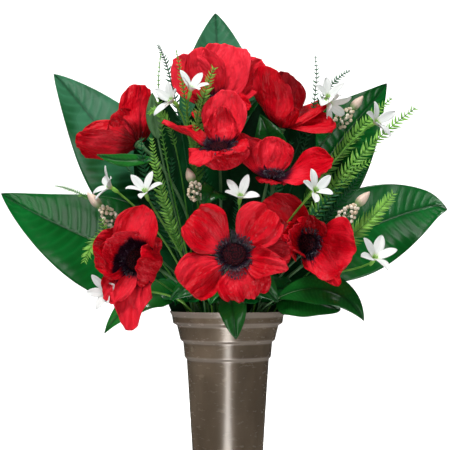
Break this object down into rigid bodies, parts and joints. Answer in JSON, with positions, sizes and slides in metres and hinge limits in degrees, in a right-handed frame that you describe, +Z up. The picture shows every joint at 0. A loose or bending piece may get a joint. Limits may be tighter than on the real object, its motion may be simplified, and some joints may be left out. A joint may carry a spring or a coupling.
{
  "type": "poppy bouquet in vase",
  "caption": "Red silk poppy bouquet with broad leaves, white star flowers, buds and fern fronds, standing in a foam-filled tapered bronze vase with a stepped flared rim.",
  "frame": {"origin": "centre of the vase's foot, on the floor", "axes": "+Z up along the vase's axis, the bouquet's front faces -Y, +X is to the viewer's right"},
  "size_m": [0.497, 0.2267, 0.5931],
  "materials": {
    "bronze": "satin dark brown patina",
    "foam": "matt, porous",
    "red_petal": "silky",
    "dark_eye": "matt fibres",
    "green_stem": "satin",
    "green_leaf": "waxy gloss",
    "white_petal": "matt",
    "cream_bud": "matt",
    "lime_fern": "satin"
  },
  "bodies": {
    "root": {"vase": "bronze", "foam_plug": "foam", "poppy_top_petals": "red_petal", "poppy_top_eye": "dark_eye", "poppy_top_stem": "green_stem", "poppy_upper_right_petals": "red_petal", "poppy_upper_right_eye": "dark_eye", "poppy_upper_right_stem": "green_stem", "poppy_middle_petals": "red_petal", "poppy_middle_eye": "dark_eye", "poppy_middle_stem": "green_stem", "poppy_right_petals": "red_petal", "poppy_right_eye": "dark_eye", "poppy_right_stem": "green_stem", "poppy_upper_left_petals": "red_petal", "poppy_upper_left_eye": "dark_eye", "poppy_upper_left_stem": "green_stem", "poppy_lower_left_petals": "red_petal", "poppy_lower_left_eye": "dark_eye", "poppy_lower_left_stem": "green_stem", "poppy_front_petals": "red_petal", "poppy_front_eye": "dark_eye", "poppy_front_stem": "green_stem", "poppy_lower_right_petals": "red_petal", "poppy_lower_right_eye": "dark_eye", "poppy_lower_right_stem": "green_stem", "leaf_top": "green_leaf", "leaf_upper_left": "green_leaf", "leaf_upper_right": "green_leaf", "leaf_left": "green_leaf", "leaf_right": "green_leaf", "leaf_low_right": "green_leaf", "leaf_low_right_front": "green_leaf", "leaf_low_left": "green_leaf", "leaf_front": "green_leaf", "sepal_front_left": "green_leaf", "sepal_front_right": "green_leaf", "sepal_middle": "green_leaf", "sepal_upper_right": "green_leaf", "sepal_upper_left": "green_leaf", "sepal_top": "green_leaf", "white_top_left": "white_petal", "white_upper_left": "white_petal", "white_left": "white_petal", "white_middle": "white_petal", "white_right": "white_petal", "white_low_right": "white_petal", "white_low_left": "white_petal", "white_upper_right": "white_petal", "white_far_right": "white_petal", "bud_left": "cream_bud", "bud_middle": "cream_bud", "bud_right": "cream_bud", "bud_upper_right": "cream_bud", "fern_right_high": "lime_fern", "fern_right_upper": "lime_fern", "fern_right_low": "lime_fern", "fern_left_middle": "lime_fern", "fern_top_left": "lime_fern", "fern_low_left": "lime_fern"}
  },
  "joints": []
}
